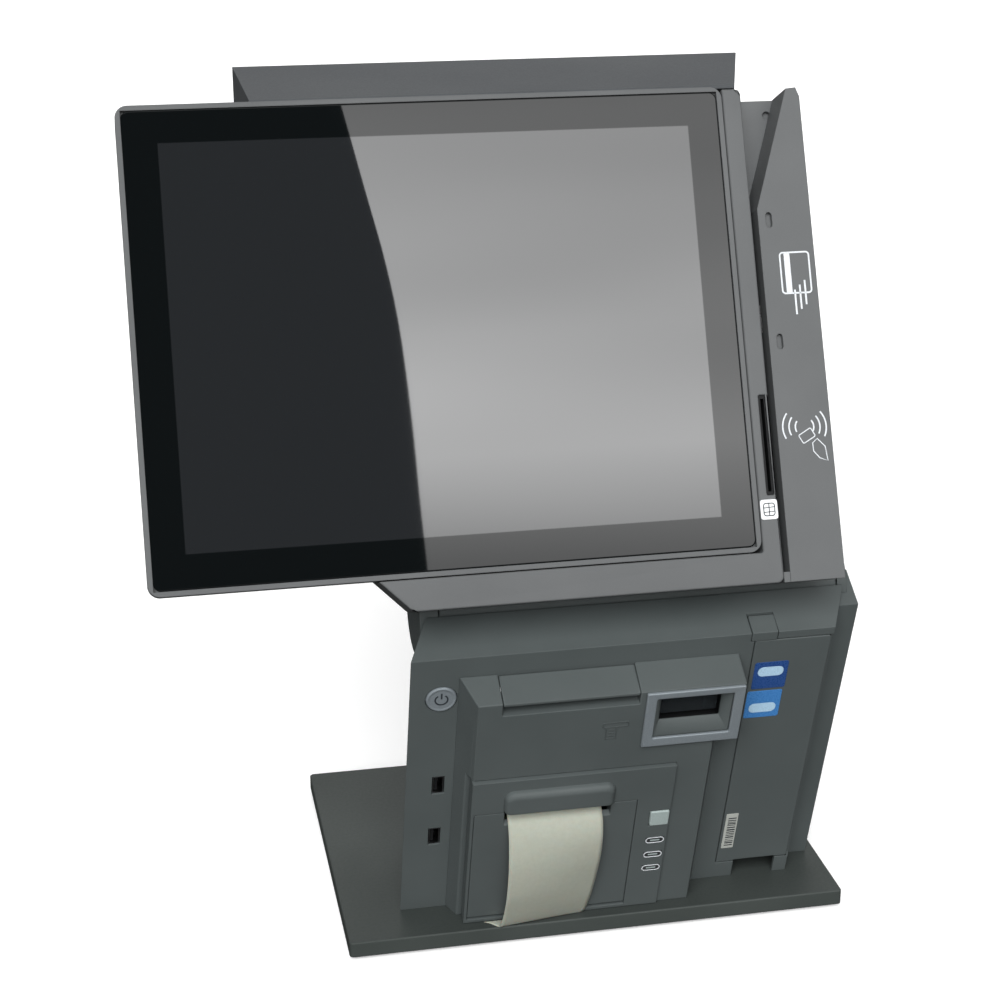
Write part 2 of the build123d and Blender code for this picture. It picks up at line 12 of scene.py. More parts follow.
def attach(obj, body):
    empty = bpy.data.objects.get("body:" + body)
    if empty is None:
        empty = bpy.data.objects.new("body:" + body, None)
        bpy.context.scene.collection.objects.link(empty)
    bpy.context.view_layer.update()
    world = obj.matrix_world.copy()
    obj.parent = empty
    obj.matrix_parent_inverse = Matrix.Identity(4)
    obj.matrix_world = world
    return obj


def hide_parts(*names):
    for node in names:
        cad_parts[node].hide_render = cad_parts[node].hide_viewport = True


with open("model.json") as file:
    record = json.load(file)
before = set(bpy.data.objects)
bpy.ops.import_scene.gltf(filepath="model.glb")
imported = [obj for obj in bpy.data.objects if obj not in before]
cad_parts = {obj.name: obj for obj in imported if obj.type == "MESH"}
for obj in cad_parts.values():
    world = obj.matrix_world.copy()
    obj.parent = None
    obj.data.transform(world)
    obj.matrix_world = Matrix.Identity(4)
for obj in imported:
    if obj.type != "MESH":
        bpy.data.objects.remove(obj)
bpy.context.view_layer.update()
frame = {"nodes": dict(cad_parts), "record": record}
NODES = frame["nodes"]

MM = 0.001
SHIFT = np.array([39.25, 70.63, 0.0])       # footprint centre in the drawing's millimetres
SCREEN_TILT = math.radians(24.6)
BODY_LEAN = math.radians(17.3)
SCREEN_Z = 392.6
FOOT_Y, BASE_TOP = 13.7, 12.5
UNIT_N, MODULE_N = 22.4, 20.0               # printer front and module front, out of the body's face
GLASS_SIZE, GLASS_RADIUS = (342.8, 266.6), 4.5
ACTIVE_HALF = (("X", 152.05), ("Y", 114.05))  # half of the display's lit area
POWER_AT = (-10.9, 179.9)                   # power button on the body's face
FEED_AT = (124.8, 85.6)                     # feed button
LIGHTS_X, LIGHTS_UP = 123.9, (66.3, 53.5, 41.4)
CHIP_AT = (180.65, -112.4)                  # chip sign on the head frame
CORNER_POINTS = 8                           # points on each rounded corner
GRAIN_MM, GRAIN_DEPTH_MM = 1.1, 0.05        # moulded plastic's grain as drawn
SHARP_ANGLE = math.radians(35)
FACET_ANGLE, BEVEL_ANGLE = math.radians(30), math.radians(38)
MERGE_MM = 0.002                            # CAD vertices closer than this are one
PAPER_MM = 0.12                             # ticket's thickness


# ---------------------------------------------------------------- frames


def on_screen(x, up, out):
    """Screen frame to row frame: x right, up the glass, out of it; a rotation by the screen's tilt."""
    x, up, out = np.broadcast_arrays(*(np.asarray(a, float) for a in (x, up, out)))
    y = up * math.sin(SCREEN_TILT) - out * math.cos(SCREEN_TILT)
    z = SCREEN_Z + up * math.cos(SCREEN_TILT) + out * math.sin(SCREEN_TILT)
    return (np.stack([x, y, z], -1) - SHIFT) * MM


def on_body(x, up, out):
    """Body frame to row frame: x right, up the leaning face, out of it."""
    x, up, out = np.broadcast_arrays(*(np.asarray(a, float) for a in (x, up, out)))
    y = FOOT_Y - up * math.sin(BODY_LEAN) - out * math.cos(BODY_LEAN)
    z = BASE_TOP + up * math.cos(BODY_LEAN) - out * math.sin(BODY_LEAN)
    return (np.stack([x, y, z], -1) - SHIFT) * MM


# ---------------------------------------------------------------- surfaces


def mesh_piece(name, points, faces, material, smooth=True):
    """A mesh object at the origin from points and faces."""
    mesh = bpy.data.meshes.new(name)
    mesh.from_pydata(points.reshape(-1, 3).tolist(), [], faces)
    mesh.polygons.foreach_set("use_smooth", [smooth] * len(mesh.polygons))
    mesh.materials.append(material)
    mesh.update()
    piece = bpy.data.objects.new(name, mesh)
    bpy.context.scene.collection.objects.link(piece)
    return piece


def grid_faces(rows, columns, closed):
    """Quads of a rows x columns grid; closed joins the last column to the first."""
    r, c = np.meshgrid(np.arange(rows - 1), np.arange(columns - (0 if closed else 1)), indexing="ij")
    after = (c + 1) % columns
    here, below = r * columns, (r + 1) * columns
    return np.stack([here + c, here + after, below + after, below + c], -1).reshape(-1, 4).tolist()


def rounded_outline(width, height, radius):
    """Rounded rectangle about the origin: four quarter circles joined, anticlockwise."""
    radius = min(radius, width / 2, height / 2)
    turn = np.linspace(0, math.pi / 2, CORNER_POINTS)
    corners = []
    for quarter, (sx, sy) in enumerate(((1, 1), (-1, 1), (-1, -1), (1, -1))):
        angle = turn + quarter * math.pi / 2
        x = sx * (width / 2 - radius) + radius * np.cos(angle)
        y = sy * (height / 2 - radius) + radius * np.sin(angle)
        corners.append(np.stack([x, y], -1))
    return np.concatenate(corners)


def stacked(name, place, centre, size, radius, steps, material):
    """Rounded rectangles stacked out of a face and closed at both ends; each step (inset, height) is a
    ring."""
    rings = []
    for inset, height in steps:
        ring = rounded_outline(size[0] - 2 * inset, size[1] - 2 * inset, max(radius - inset, 0.05))
        rings.append(place(centre[0] + ring[:, 0], centre[1] + ring[:, 1], height))
    points = np.stack(rings)
    count = points.shape[1]
    faces = grid_faces(len(steps), count, True)
    faces.append(list(range(count))[::-1])
    faces.append([(len(steps) - 1) * count + k for k in range(count)])
    return shade_by_angle(mesh_piece(name, points, faces, material, smooth=False), flat=2)


def shade_by_angle(piece, flat=0):
    """Smooth shading that keeps the edges sharper than SHARP_ANGLE; the last flat faces stay plane."""
    mesh = piece.data
    mesh.set_sharp_from_angle(angle=SHARP_ANGLE)
    mesh.polygons.foreach_set("use_smooth", np.arange(len(mesh.polygons)) < len(mesh.polygons) - flat)
    return piece


def stroke(name, place, path, width, height, material, base=0.0, closed=False):
    """Raised line: a rectangle carried along a flat path; its sides are the path moved half the width."""
    path = np.asarray(path, float)
    if closed:
        ahead, behind = np.roll(path, -1, 0), np.roll(path, 1, 0)
    else:
        ahead, behind = np.vstack([path[1:], path[-1:]]), np.vstack([path[:1], path[:-1]])
    along = ahead - behind
    along /= np.linalg.norm(along, axis=1, keepdims=True)
    side = np.stack([-along[:, 1], along[:, 0]], -1) * width / 2
    left, right = path + side, path - side
    corners = [(left, base), (left, base + height), (right, base + height), (right, base)]
    points = np.stack([place(p[:, 0], p[:, 1], h) for p, h in corners], 1)
    rows = len(path)
    faces = grid_faces(rows, 4, True)
    if closed:
        start = (rows - 1) * 4
        faces += [[start + k, start + (k + 1) % 4, (k + 1) % 4, k] for k in range(4)]
    else:
        faces += [[3, 2, 1, 0], [(rows - 1) * 4 + k for k in range(4)]]
    return mesh_piece(name, points, faces, material, smooth=False)


def arc(centre, radius, start, end, count=24):
    """Points of a circle's arc, angles in degrees."""
    angle = np.radians(np.linspace(start, end, count))
    return np.stack([centre[0] + radius * np.cos(angle), centre[1] + radius * np.sin(angle)], -1)


def smooth_line(points, count):
    """Smooth curve through the points (Catmull-Rom cubic on each span), as count points."""
    p = np.asarray(points, float)
    p = np.vstack([2 * p[0] - p[1], p, 2 * p[-1] - p[-2]])
    spans = len(p) - 3
    at = np.linspace(0, spans - 1e-9, count)
    k = at.astype(int)
    t = (at - k)[:, None]
    a, b, c, d = p[k], p[k + 1], p[k + 2], p[k + 3]
    return 0.5 * (2 * b + (c - a) * t + (2 * a - 5 * b + 4 * c - d) * t**2 + (3 * b - a - 3 * c + d) * t**3)


# ---------------------------------------------------------------- materials


def linear(hex_colour):
    """sRGB hex to linear RGBA."""
    value = np.array([int(hex_colour[k : k + 2], 16) for k in (1, 3, 5)]) / 255
    value = np.where(value <= 0.04045, value / 12.92, ((value + 0.055) / 1.055) ** 2.4)
    return (*value, 1.0)


def add(tree, kind, values=None, links=None, **settings):
    """Adds a node with its settings, its socket values and its links."""
    made = tree.nodes.new(kind)
    for key, value in settings.items():
        setattr(made, key, value)
    for socket, value in (values or {}).items():
        made.inputs[socket].default_value = value
    for socket, source in (links or {}).items():
        tree.links.new(source, made.inputs[socket])
    return made


def new_material(name):
    """An empty material and its node tree."""
    material = bpy.data.materials.new(name)
    material.use_nodes = True
    material.node_tree.nodes.clear()
    return material, material.node_tree


def finish_material(tree, shader):
    """Sends the shader to the surface."""
    add(tree, "ShaderNodeOutputMaterial", links={"Surface": shader.outputs["BSDF"]})


def set_ramp(ramp, *stops):
    """Gives a colour ramp's stops their positions and colours."""
    for element, (position, colour) in zip(ramp.color_ramp.elements, stops):
        element.position, element.color = position, colour


def moulded_abs(name, dark, light, rough=0.5, edge_mm=0.7):
    """Injection-moulded ABS with a fine spark-eroded texture: an even satin sheen, faint mottling, soft
    edges. The real grain is near 0.15 mm; it is drawn at GRAIN_MM so that it shows."""
    material, tree = new_material(name)
    place = add(tree, "ShaderNodeTexCoord").outputs["Object"]
    cloud = add(
        tree,
        "ShaderNodeTexNoise",
        {"Scale": 14.0, "Detail": 3.0, "Roughness": 0.55},
        {"Vector": place},
    )
    grain = add(
        tree,
        "ShaderNodeTexNoise",
        {"Scale": 1000 / GRAIN_MM, "Detail": 2.0, "Roughness": 0.6},
        {"Vector": place},
    )
    mixed = add(
        tree,
        "ShaderNodeMix",
        {"Factor": 0.35},
        {"A": cloud.outputs["Fac"], "B": grain.outputs["Fac"]},
        data_type="FLOAT",
    )
    colour = add(tree, "ShaderNodeValToRGB", links={"Fac": mixed.outputs["Result"]})
    set_ramp(colour, (0.34, linear(dark)), (0.66, linear(light)))
    gloss = add(
        tree,
        "ShaderNodeMapRange",
        {"From Min": 0.3, "From Max": 0.7, "To Min": rough - 0.05, "To Max": rough + 0.07},
        {"Value": grain.outputs["Fac"]},
    )
    edge = add(tree, "ShaderNodeBevel", {"Radius": edge_mm * MM}, samples=6)
    bump = add(
        tree,
        "ShaderNodeBump",
        {"Strength": 0.35, "Distance": GRAIN_DEPTH_MM * MM},
        {"Height": grain.outputs["Fac"], "Normal": edge.outputs["Normal"]},
    )
    shader = add(
        tree,
        "ShaderNodeBsdfPrincipled",
        {"IOR": 1.53},
        {
            "Base Color": colour.outputs["Color"],
            "Roughness": gloss.outputs["Result"],
            "Normal": bump.outputs["Normal"],
        },
    )
    finish_material(tree, shader)
    return material


def powder_coat(name, dark, light):
    """Steel plate under satin powder coat: an orange-peel ripple about 2 mm across breaks up the sheen."""
    material, tree = new_material(name)
    place = add(tree, "ShaderNodeTexCoord").outputs["Object"]
    peel = add(tree, "ShaderNodeTexNoise", {"Scale": 480.0, "Detail": 2.0}, {"Vector": place})
    cloud = add(tree, "ShaderNodeTexNoise", {"Scale": 9.0, "Detail": 4.0}, {"Vector": place})
    colour = add(tree, "ShaderNodeValToRGB", links={"Fac": cloud.outputs["Fac"]})
    set_ramp(colour, (0.35, linear(dark)), (0.65, linear(light)))
    edge = add(tree, "ShaderNodeBevel", {"Radius": 0.9 * MM}, samples=6)
    bump = add(
        tree,
        "ShaderNodeBump",
        {"Strength": 0.3, "Distance": 0.04 * MM},
        {"Height": peel.outputs["Fac"], "Normal": edge.outputs["Normal"]},
    )
    gloss = add(
        tree,
        "ShaderNodeMapRange",
        {"From Min": 0.3, "From Max": 0.7, "To Min": 0.4, "To Max": 0.52},
        {"Value": peel.outputs["Fac"]},
    )
    shader = add(
        tree,
        "ShaderNodeBsdfPrincipled",
        {"IOR": 1.5},
        {
            "Base Color": colour.outputs["Color"],
            "Roughness": gloss.outputs["Result"],
            "Normal": bump.outputs["Normal"],
        },
    )
    finish_material(tree, shader)
    return material


def satin_paint(name, base, rough=0.38, flake=0.0):
    """Smooth moulding with a thin satin paint: nearly even, with a faint flake about 0.6 mm across."""
    material, tree = new_material(name)
    place = add(tree, "ShaderNodeTexCoord").outputs["Object"]
    speck = add(tree, "ShaderNodeTexNoise", {"Scale": 1600.0, "Detail": 1.0}, {"Vector": place})
    flat = np.array(linear(base)[:3])
    colour = add(tree, "ShaderNodeValToRGB", links={"Fac": speck.outputs["Fac"]})
    set_ramp(colour, (0.3, (*flat * 0.92, 1.0)), (0.7, (*np.minimum(flat * 1.07, 1.0), 1.0)))
    gloss = add(
        tree,
        "ShaderNodeMapRange",
        {"From Min": 0.3, "From Max": 0.7, "To Min": rough - 0.04, "To Max": rough + 0.05},
        {"Value": speck.outputs["Fac"]},
    )
    edge = add(tree, "ShaderNodeBevel", {"Radius": 0.4 * MM}, samples=4)
    shader = add(
        tree,
        "ShaderNodeBsdfPrincipled",
        {"IOR": 1.5, "Metallic": flake},
        {
            "Base Color": colour.outputs["Color"],
            "Roughness": gloss.outputs["Result"],
            "Normal": edge.outputs["Normal"],
        },
    )
    finish_material(tree, shader)
    return material


def brushed_steel(name, base="#b9babb", rough=0.32):
    """Stainless steel brushed along x: streaks 0.3 mm apart stretched to several millimetres."""
    material, tree = new_material(name)
    place = add(tree, "ShaderNodeTexCoord").outputs["Object"]
    stretch = add(tree, "ShaderNodeMapping", {"Scale": (40.0, 2400.0, 2400.0)}, {"Vector": place})
    along = {"Vector": stretch.outputs["Vector"]}
    streak = add(tree, "ShaderNodeTexNoise", {"Scale": 1.0, "Detail": 3.0}, along)
    gloss = add(
        tree,
        "ShaderNodeMapRange",
        {"From Min": 0.3, "From Max": 0.7, "To Min": rough - 0.08, "To Max": rough + 0.1},
        {"Value": streak.outputs["Fac"]},
    )
    height = {"Height": streak.outputs["Fac"]}
    bump = add(tree, "ShaderNodeBump", {"Strength": 0.2, "Distance": 0.01 * MM}, height)
    shader = add(
        tree,
        "ShaderNodeBsdfPrincipled",
        {"Base Color": linear(base), "Metallic": 1.0},
        {"Roughness": gloss.outputs["Result"], "Normal": bump.outputs["Normal"]},
    )
    finish_material(tree, shader)
    return material


def thermal_paper(name, light, dark):
    """Thermal paper: smooth coated stock, slightly warm, with fibres clouding it over about 3 mm."""
    material, tree = new_material(name)
    place = add(tree, "ShaderNodeTexCoord").outputs["Object"]
    fibre = add(
        tree,
        "ShaderNodeTexNoise",
        {"Scale": 320.0, "Detail": 5.0, "Roughness": 0.7},
        {"Vector": place},
    )
    colour = add(tree, "ShaderNodeValToRGB", links={"Fac": fibre.outputs["Fac"]})
    set_ramp(colour, (0.3, linear(dark)), (0.7, linear(light)))
    height = {"Height": fibre.outputs["Fac"]}
    bump = add(tree, "ShaderNodeBump", {"Strength": 0.15, "Distance": 0.02 * MM}, height)
    shader = add(
        tree,
        "ShaderNodeBsdfPrincipled",
        {"IOR": 1.45, "Roughness": 0.55, "Subsurface Weight": 0.15, "Subsurface Scale": 0.001},
        {"Base Color": colour.outputs["Color"], "Normal": bump.outputs["Normal"]},
    )
    finish_material(tree, shader)
    return material


def rubber(name):
    """Moulded rubber: near black, matt, a little dusty."""
    material, tree = new_material(name)
    place = add(tree, "ShaderNodeTexCoord").outputs["Object"]
    dust = add(tree, "ShaderNodeTexNoise", {"Scale": 220.0, "Detail": 4.0}, {"Vector": place})
    colour = add(tree, "ShaderNodeValToRGB", links={"Fac": dust.outputs["Fac"]})
    set_ramp(colour, (0.0, linear("#161616")), (1.0, linear("#2c2c2b")))
    shader = add(
        tree,
        "ShaderNodeBsdfPrincipled",
        {"IOR": 1.5, "Roughness": 0.8},
        {"Base Color": colour.outputs["Color"]},
    )
    finish_material(tree, shader)
    return material


def screen_glass(name):
    """Toughened glass over a display: a black ink border printed behind it, and inside the border the
    display's grey polariser, which mirrors more of the room than the ink does. Polished, with faint wipe
    marks. Its map is in millimetres."""
    material, tree = new_material(name)
    place = add(tree, "ShaderNodeTexCoord").outputs["UV"]
    parts = add(tree, "ShaderNodeSeparateXYZ", links={"Vector": place})
    sides = []
    for axis, half in ACTIVE_HALF:
        size = add(tree, "ShaderNodeMath", links={0: parts.outputs[axis]}, operation="ABSOLUTE")
        sides.append(
            add(
                tree,
                "ShaderNodeMapRange",
                {"From Min": half - 0.25, "From Max": half + 0.25, "To Min": 1.0, "To Max": 0.0},
                {"Value": size.outputs["Value"]},
            )
        )
    inside = {k: side.outputs["Result"] for k, side in enumerate(sides)}
    lit = add(tree, "ShaderNodeMath", links=inside, operation="MULTIPLY")
    wipe = add(
        tree,
        "ShaderNodeMapping",
        {"Rotation": (0, 0, -0.85), "Scale": (0.012, 0.002, 1)},
        {"Vector": place},
    )
    along = {"Vector": wipe.outputs["Vector"]}
    streak = add(tree, "ShaderNodeTexNoise", {"Scale": 1.0, "Detail": 3.0}, along)
    smear = add(
        tree,
        "ShaderNodeMapRange",
        {"From Min": 0.35, "From Max": 0.65, "To Min": 0.012, "To Max": 0.03},
        {"Value": streak.outputs["Fac"]},
    )
    polish = {"Roughness": smear.outputs["Result"]}
    layers = {0: lit.outputs["Value"]}
    for k, (colour, ior) in enumerate((("#0b0e0f", 1.6), ("#202224", 2.0))):
        look = {"Base Color": linear(colour), "IOR": ior}
        layers[k + 1] = add(tree, "ShaderNodeBsdfPrincipled", look, polish).outputs["BSDF"]
    both = add(tree, "ShaderNodeMixShader", links=layers)
    add(tree, "ShaderNodeOutputMaterial", links={"Surface": both.outputs["Shader"]})
    return material


def clear_pane(name):
    """Clear cast acrylic pane: polished and see-through, with a faint grey tint."""
    material, tree = new_material(name)
    shader = add(
        tree,
        "ShaderNodeBsdfPrincipled",
        {"Base Color": linear("#6b7378"), "IOR": 1.49, "Roughness": 0.04, "Transmission Weight": 0.85},
    )
    finish_material(tree, shader)
    return material


HEAD = moulded_abs("abs_mid_grey_spark_texture", "#565859", "#5d5f60", rough=0.5)
HOOD = moulded_abs("abs_grey_spark_texture_matt", "#44474a", "#4a4d4f", rough=0.6)
BODY = moulded_abs("abs_dark_grey_spark_texture", "#494f4f", "#505656", rough=0.52)
BLACK = moulded_abs("abs_black_matt", "#101112", "#1a1b1c", rough=0.6, edge_mm=0.2)
CAVITY = moulded_abs("abs_charcoal_inner_moulding", "#2a2c2d", "#343637", rough=0.6, edge_mm=0.3)
PLATE = powder_coat("steel_plate_powder_coat_grey", "#363b39", "#3e4341")
SILVER = satin_paint("abs_satin_silver_paint", "#868e93", rough=0.36, flake=0.35)
CAP = satin_paint("abs_satin_light_grey_cap", "#97a3a1", rough=0.4)
LIGHT_INK = satin_paint("pad_printed_ink_pale_grey", "#d5d9dd", rough=0.5)
DARK_INK = satin_paint("pad_printed_ink_charcoal", "#2c3136", rough=0.5)
WHITE = satin_paint("abs_satin_white", "#dfe2e3", rough=0.4)
STEEL = brushed_steel("stainless_steel_brushed")
ALLOY = brushed_steel("aluminium_extruded_satin", "#c3c4c6", 0.4)
# Painted shade: these paper greys are far darker than white thermal paper and stand in for the shade the
# downward-facing ticket hangs in.
PAPER_IN_PAINTED_SHADE = thermal_paper("thermal_paper_painted_shade_grey", "#a3a599", "#9c9e92")
CARDBOARD = thermal_paper("grey_board_core", "#a08a6c", "#8d785c")
LABEL = satin_paint("vinyl_label_pale_grey", "#a7aaa4", rough=0.45)
STICKER_BLUE = satin_paint("vinyl_sticker_blue", "#3f78b4", rough=0.28)
STICKER_DEEP = satin_paint("vinyl_sticker_deep_blue", "#27477f", rough=0.28)
STICKER_PALE = satin_paint("vinyl_sticker_pale_blue", "#a9c8de", rough=0.28)
BOARD = satin_paint("circuit_board_green_mask", "#1d5a37", rough=0.35)
RUBBER = rubber("rubber_moulded_black")
GLASS = screen_glass("toughened_glass_black_border")
PANE = clear_pane("acrylic_pane_clear")

FINISHES = [
    (HEAD, "head_frame wing reader_back screen_bezel"),
    (HOOD, "head_housing head_rear_panel"),
    (BODY, "front_cover rear_cover hinge_end_caps side_door module_housing module_flap"),
    (BODY, "printer_panel printer_cover release_button hinge_drum"),
    (CAVITY, "door_bay printer_frame power_ring roll_spindle status_lights"),
    (BLACK, "usb_tongues rear_sockets bay_sockets scanner_engine chip_reader display_panel"),
    (PLATE, "base_plate"),
    (SILVER, "scanner_frame power_button"),
    (CAP, "feed_button"),
    (WHITE, "chip_plate"),
    (STEEL, "usb_shells door_pins cover_pin platen_shaft hinge_shaft tear_bar rear_panel swipe_head"),
    (ALLOY, "print_head power_supply"),
    (PAPER_IN_PAINTED_SHADE, "paper_roll ticket code_label"),
    (CARDBOARD, "roll_core"),
    (STICKER_BLUE, "stickers"),
    (BOARD, "mainboard"),
    (RUBBER, "base_feet platen_roller"),
    (GLASS, "touch_glass"),
    (PANE, "scanner_window"),
]


def dress(node, material):
    """Gives a CAD node its material and keeps its mesh as it is."""
    slots = NODES[node].data.materials
    slots.clear()
    slots.append(material)


for finish, names in FINISHES:
    for node_name in names.split():
        dress(node_name, finish)


# ---------------------------------------------------------------- pieces


def settle(piece, body, slot, *replaced):
    """Puts a piece on its body and hides the CAD nodes it stands for; slot is not used."""
    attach(piece, body)
    if replaced:
        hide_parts(*replaced)
    return piece


BEHAVIOUR = frame["record"]["behaviour"]["bodies"]
BODY_OF = {node: body for body, nodes in BEHAVIOUR.items() for node in nodes}
SLOT_OF = {entry["node"]: entry["material_slot"] for entry in frame["record"]["subparts"]}


def softened(node, width_mm, free):
    """Copy of a CAD moulding with its sharp edges rounded: doubles merged, then a bevel of width_mm on
    every edge that turns by more than BEVEL_ANGLE; free lets the bevel run past short neighbours."""
    source = NODES[node]
    mesh = source.data.copy()
    work = bmesh.new()
    work.from_mesh(mesh)
    bmesh.ops.remove_doubles(work, verts=work.verts, dist=MERGE_MM * MM)
    work.to_mesh(mesh)
    work.free()
    piece = bpy.data.objects.new(node + "_moulding", mesh)
    bpy.context.scene.collection.objects.link(piece)
    mesh.set_sharp_from_angle(angle=FACET_ANGLE)
    bevel = piece.modifiers.new("soft_edges", "BEVEL")
    bevel.width, bevel.segments = width_mm * MM, 2
    bevel.limit_method, bevel.angle_limit = "ANGLE", BEVEL_ANGLE
    bevel.harden_normals, bevel.use_clamp_overlap = True, not free
    bevel.miter_outer = "MITER_ARC"
    weighted = piece.modifiers.new("even_faces", "WEIGHTED_NORMAL")
    weighted.keep_sharp, weighted.weight = True, 80
    return settle(piece, BODY_OF[node], SLOT_OF[node], node)


# bevel width in millimetres, whether it runs free, nodes
SOFT_EDGES = [
    (0.9, True, "head_frame"),
    (0.6, True, "module_flap side_door"),
    (0.9, False, "wing"),
    (0.7, False, "front_cover module_housing head_housing rear_cover scanner_frame"),
    (0.5, False, "printer_panel printer_cover release_button"),
]


def make_glass():
    """Flat glass with rounded corners and a ground edge; its map is in millimetres from the middle."""
    steps = [(0, -3.2), (0, -0.75), (0.35, -0.35), (0.8, -0.25)]
    pane = stacked("touch_glass_pane", on_screen, (0, 0), GLASS_SIZE, GLASS_RADIUS, steps, GLASS)
    mesh = pane.data
    ring = rounded_outline(*GLASS_SIZE, GLASS_RADIUS)
    layer = mesh.uv_layers.new(name="millimetres")
    flat = np.concatenate([ring * (1 - 2 * inset / GLASS_SIZE[0]) for inset, _ in steps])
    index = np.empty(len(mesh.loops), int)
    mesh.loops.foreach_get("vertex_index", index)
    layer.data.foreach_set("uv", flat[index].ravel())
    settle(pane, "head", "screen_glass", "touch_glass")


def make_ticket():
    """Ticket: every point is a blend between the left and the right edge's curve; each edge drops from the
    exit, bulges forward, falls back to the plate and curls under. The sheet bows out by a sine across its
    width, times a sine down its length."""
    rows, columns = 90, 26
    left = [
        (29.5, -27.9, 102.6), (29.5, -33.2, 99.6), (29.5, -37.9, 92.0), (29.5, -39.8, 80.0),
        (29.5, -38.9, 64.0), (29.4, -33.6, 43.0), (29.0, -26.6, 27.0), (28.2, -20.8, 15.6),
        (27.2, -17.8, 12.9), (23.0, -13.0, 12.8), (19.3, -10.6, 12.8),
    ]
    right = [
        (87.8, -27.9, 102.6), (87.8, -33.8, 99.6), (87.9, -38.3, 92.0), (87.9, -38.6, 80.0),
        (87.7, -34.2, 64.0), (86.9, -27.2, 47.0), (85.6, -20.0, 30.0), (84.2, -13.6, 17.5),
        (83.0, -11.4, 13.4), (81.0, -11.0, 12.9), (79.0, -10.8, 12.85),
    ]
    a, b = smooth_line(left, rows), smooth_line(right, rows)
    across = np.linspace(0, 1, columns)[None, :, None]
    points = a[:, None] * (1 - across) + b[:, None] * across
    down = np.linspace(0, 1, rows)[:, None]
    bow = np.sin(math.pi * across[..., 0]) * np.sin(math.pi * np.clip(down * 1.25, 0, 1))
    points[..., 1] -= 1.2 * bow
    faces = grid_faces(rows, columns, False)
    sheet = mesh_piece("ticket_sheet", (points - SHIFT) * MM, faces, PAPER_IN_PAINTED_SHADE)
    solid = sheet.modifiers.new("paper_thickness", "SOLIDIFY")
    solid.thickness, solid.offset = PAPER_MM * MM, 0.0
    settle(sheet, "slip", "paper", "ticket")


def make_signs():
    """Pale signs on the fin: a card with its stripe over three short bars, and waves beside a held card."""
    ink = 0.12
    card = rounded_outline(17.6, 24.0, 1.8) + [209.8, 24.6]
    stripe = [(205.2, 13.0), (205.2, 36.4)]
    signs = [stroke("sign_card_edge", on_screen, card, 1.0, ink, LIGHT_INK, closed=True)]
    signs.append(stroke("sign_card_stripe", on_screen, stripe, 3.6, ink, LIGHT_INK))
    for k, (top, low) in enumerate(((14.6, 0.0), (17.4, 3.0), (20.0, 5.6))):
        bar = [(208.4 + 3.2 * k, top), (208.4 + 3.2 * k, low)]
        signs.append(stroke(f"sign_card_bar_{k}", on_screen, bar, 1.1, ink, LIGHT_INK))
    middle = (206.6, -66.0)
    for k, radius in enumerate((5.6, 9.4, 13.2)):
        for side, turn in (("left", 174), ("right", 6)):
            wave = arc(middle, radius, turn - 34, turn + 34)
            signs.append(stroke(f"sign_wave_{side}_{k}", on_screen, wave, 0.9, ink, LIGHT_INK))
    turned = np.array([[math.cos(0.5), math.sin(0.5)], [-math.sin(0.5), math.cos(0.5)]])
    held = rounded_outline(8.6, 5.6, 0.8) @ turned + [207.6, -71.2]
    signs.append(stroke("sign_held_card", on_screen, held, 0.6, ink, LIGHT_INK, closed=True))
    hand = np.array(
        [(210.6, -75.6), (213.6, -73.2), (218.0, -78.0), (219.0, -86.4), (214.2, -84.6), (210.8, -80.4)]
    )
    signs.append(stroke("sign_hand", on_screen, hand, 0.6, ink, LIGHT_INK, closed=True))
    for sign in signs:
        settle(sign, "head", "white_plastic")


def make_chip_sign():
    """Rounded white plate with a dark contact pattern: a frame, a split down its middle and two rungs."""
    x, v = CHIP_AT
    front, ink = 0.5, 0.08
    steps = [(0, 0.0), (0, 0.3), (0.25, front)]
    plate = stacked("chip_sign_plate", on_screen, CHIP_AT, (10.4, 11.6), 1.6, steps, WHITE)
    settle(plate, "head", "white_plastic", "chip_plate")
    outline = rounded_outline(6.6, 7.2, 1.6) + CHIP_AT
    lines = [stroke("chip_sign_edge", on_screen, outline, 0.55, ink, DARK_INK, base=front, closed=True)]
    split = [(x, v - 3.4), (x, v + 3.4)]
    lines.append(stroke("chip_sign_split", on_screen, split, 0.5, ink, DARK_INK, base=front))
    for k, up in enumerate((-1.6, 1.0)):
        rung = [(x - 3.2, v + up), (x + 3.2, v + up + 0.4)]
        lines.append(stroke(f"chip_sign_rung_{k}", on_screen, rung, 0.45, ink, DARK_INK, base=front))
    for line in lines:
        settle(line, "head", "black_plastic")


def make_power_button():
    """Round cap with a raised rim and a slightly sunk middle, and the on-off sign: a ring with a gap and a
    bar."""
    x, up = POWER_AT
    front, width, ink = 0.75, 0.95, 0.1
    steps = [(0, -3.4), (0, 0.2), (0.3, 0.75), (0.9, 1.1), (1.6, 1.0), (2.2, front)]
    cap = stacked("power_cap", on_body, POWER_AT, (18.4, 18.4), 9.2, steps, SILVER)
    settle(cap, "power_key", "silver_plastic", "power_button")
    lines = (("ring", arc(POWER_AT, 3.7, 125, 415, 40)), ("bar", [(x, up + 0.6), (x, up + 5.0)]))
    for part, path in lines:
        line = stroke("power_sign_" + part, on_body, path, width, ink, DARK_INK, base=front)
        settle(line, "power_key", "black_plastic")


